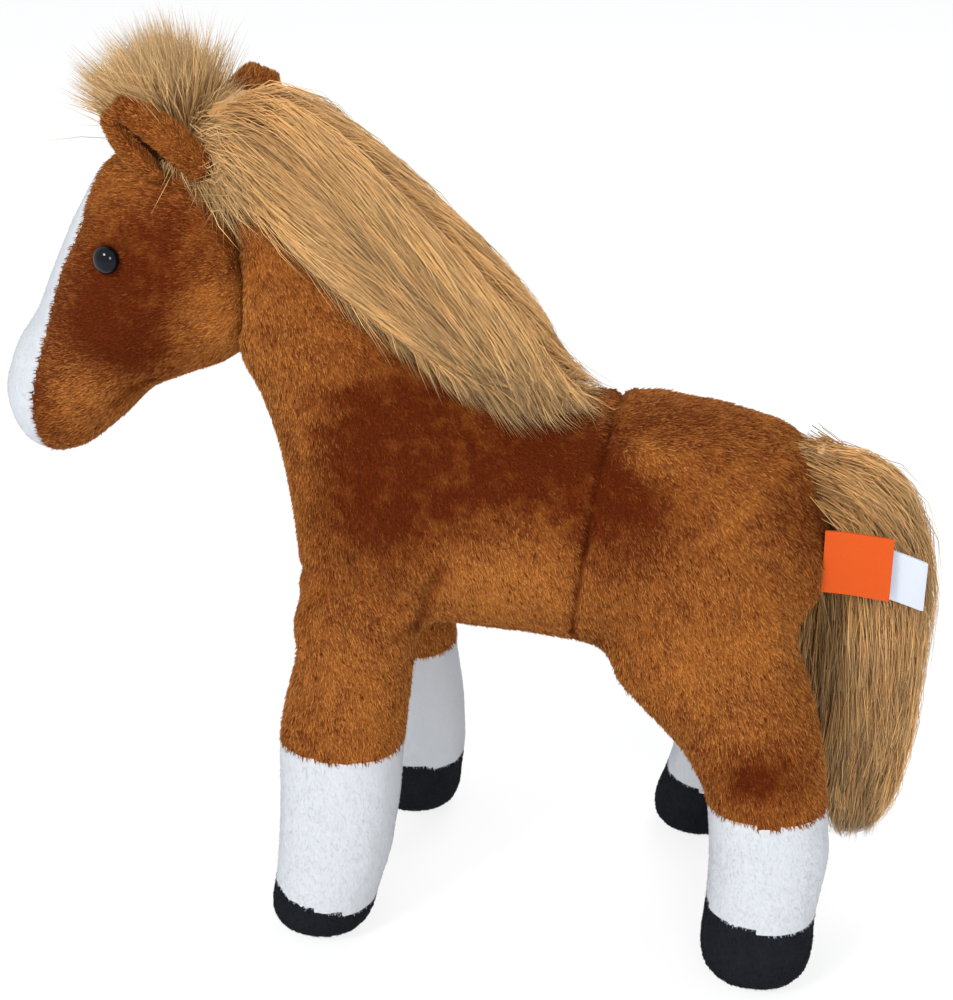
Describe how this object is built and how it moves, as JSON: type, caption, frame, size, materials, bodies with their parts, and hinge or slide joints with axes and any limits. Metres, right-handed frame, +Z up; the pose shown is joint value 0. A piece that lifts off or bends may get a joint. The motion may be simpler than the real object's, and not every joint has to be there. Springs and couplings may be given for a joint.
{
  "type": "plush horse",
  "caption": "Standing plush horse with long golden mane, forelock and tail, a white face stripe, white socks, black hooves and two plain sewn-in tabs.",
  "frame": {"origin": "on the floor, under the middle of the horse's bounding box", "axes": "+X towards the tail, +Y towards the horse's right side, +Z up"},
  "size_m": [0.3103, 0.1218, 0.3005],
  "materials": {
    "chestnut_plush": "short plush pile",
    "white_plush": "short plush pile",
    "black_plush": "short plush pile",
    "golden_pile": "long brushed pile",
    "dark_lining": "short plush pile",
    "stuffing": "polyester fibre",
    "eye_plastic": "polished",
    "washer_plastic": "moulded",
    "core_cloth": "rolled cloth",
    "orange_tape": "smooth tape, plain",
    "white_tape": "smooth tape, plain"
  },
  "bodies": {
    "torso": {"front_cover_left": "chestnut_plush", "front_cover_right": "chestnut_plush", "rear_cover_left": "chestnut_plush", "rear_cover_right": "chestnut_plush", "belly_gusset": "chestnut_plush", "body_stuffing": "stuffing", "neck_stuffing": "stuffing", "mane": "golden_pile"},
    "head": {"head_cover_left": "chestnut_plush", "head_cover_right": "chestnut_plush", "blaze_panel": "white_plush", "head_stuffing": "stuffing", "eye_left": "eye_plastic", "eye_right": "eye_plastic", "eye_washer_left": "washer_plastic", "eye_washer_right": "washer_plastic", "forelock": "golden_pile"},
    "left_ear": {"ear_left": "chestnut_plush", "ear_lining_left": "dark_lining"},
    "right_ear": {"ear_right": "chestnut_plush", "ear_lining_right": "dark_lining"},
    "front_left_leg": {"front_left_sleeve": "chestnut_plush", "front_left_sock": "white_plush", "front_left_hoof": "black_plush", "front_left_sole": "black_plush", "front_left_stuffing": "stuffing"},
    "front_right_leg": {"front_right_sleeve": "chestnut_plush", "front_right_sock": "white_plush", "front_right_hoof": "black_plush", "front_right_sole": "black_plush", "front_right_stuffing": "stuffing"},
    "hind_left_leg": {"hind_left_sleeve": "chestnut_plush", "hind_left_sock": "white_plush", "hind_left_hoof": "black_plush", "hind_left_sole": "black_plush", "hind_left_stuffing": "stuffing"},
    "hind_right_leg": {"hind_right_sleeve": "chestnut_plush", "hind_right_sock": "white_plush", "hind_right_hoof": "black_plush", "hind_right_sole": "black_plush", "hind_right_stuffing": "stuffing"},
    "tail": {"tail_core": "core_cloth", "tail_hair": "golden_pile"},
    "tabs": {"orange_tab": "orange_tape", "white_tab": "white_tape"}
  },
  "joints": [
    {"name": "head_nod", "type": "hinge", "parent": "torso", "child": "head", "pos_m": [-0.09106, 0, 0.2195], "axis": [0, -1, 0], "range_deg": [-5, 9], "stiffness_Nm_per_rad": 1},
    {"name": "left_ear_fold", "type": "hinge", "parent": "head", "child": "left_ear", "pos_m": [-0.07871, -0.021, 0.24893], "axis": [-0.7122, 0.2382, -0.6604], "range_deg": [-10, 25], "stiffness_Nm_per_rad": 0.02},
    {"name": "right_ear_fold", "type": "hinge", "parent": "head", "child": "right_ear", "pos_m": [-0.07871, 0.021, 0.24849], "axis": [0.6133, 0.6355, -0.4691], "range_deg": [-10, 25], "stiffness_Nm_per_rad": 0.02},
    {"name": "front_left_flex", "type": "hinge", "parent": "torso", "child": "front_left_leg", "pos_m": [-0.02998, -0.027, 0.1095], "axis": [0, 1, 0], "range_deg": [-9, 9], "stiffness_Nm_per_rad": 0.6},
    {"name": "front_right_flex", "type": "hinge", "parent": "torso", "child": "front_right_leg", "pos_m": [-0.02998, 0.027, 0.1095], "axis": [0, 1, 0], "range_deg": [-9, 9], "stiffness_Nm_per_rad": 0.6},
    {"name": "hind_left_flex", "type": "hinge", "parent": "torso", "child": "hind_left_leg", "pos_m": [0.08436, -0.027, 0.1155], "axis": [0, 1, 0], "range_deg": [-9, 9], "stiffness_Nm_per_rad": 0.6},
    {"name": "hind_right_flex", "type": "hinge", "parent": "torso", "child": "hind_right_leg", "pos_m": [0.08436, 0.027, 0.1155], "axis": [0, 1, 0], "range_deg": [-9, 9], "stiffness_Nm_per_rad": 0.6},
    {"name": "tail_lift", "type": "hinge", "parent": "torso", "child": "tail", "pos_m": [0.10548, 0, 0.1695], "axis": [0, -1, 0], "range_deg": [0, 55]},
    {"name": "tabs_flap", "type": "hinge", "parent": "torso", "child": "tabs", "pos_m": [0.11731, -0.021, 0.1375], "axis": [0, 0, -1], "range_deg": [0, 60], "stiffness_Nm_per_rad": 0.001}
  ]
}
